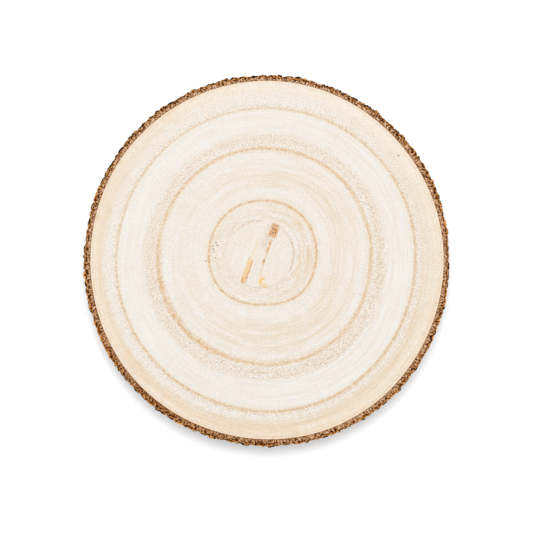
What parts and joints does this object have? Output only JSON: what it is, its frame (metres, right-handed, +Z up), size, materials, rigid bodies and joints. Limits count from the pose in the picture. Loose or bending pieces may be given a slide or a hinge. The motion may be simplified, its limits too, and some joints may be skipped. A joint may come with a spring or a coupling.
{
  "type": "wood slice",
  "caption": "Round slice sawn across a log, with pale ringed wood, a thin rough bark edge and a round plug of straight-grained wood in its heart; lies flat to stand things on.",
  "frame": {"origin": "middle of the slice's box, on the surface it lies on", "axes": "+Z up through the slice's thickness, +Y towards the top of the picture, +X to its right"},
  "size_m": [0.3295, 0.3347, 0.02],
  "materials": {
    "sawn_wood": "sanded bare end grain, matt, pale cream with tan growth rings",
    "bark": "rough dry bark, matt, tan to dark brown",
    "plug_wood": "sanded bare straight-grained wood, matt, pale cream with orange flecks"
  },
  "bodies": {
    "root": {"wood_slice": "sawn_wood", "bark_ring": "bark", "heart_plug": "plug_wood"}
  },
  "joints": []
}
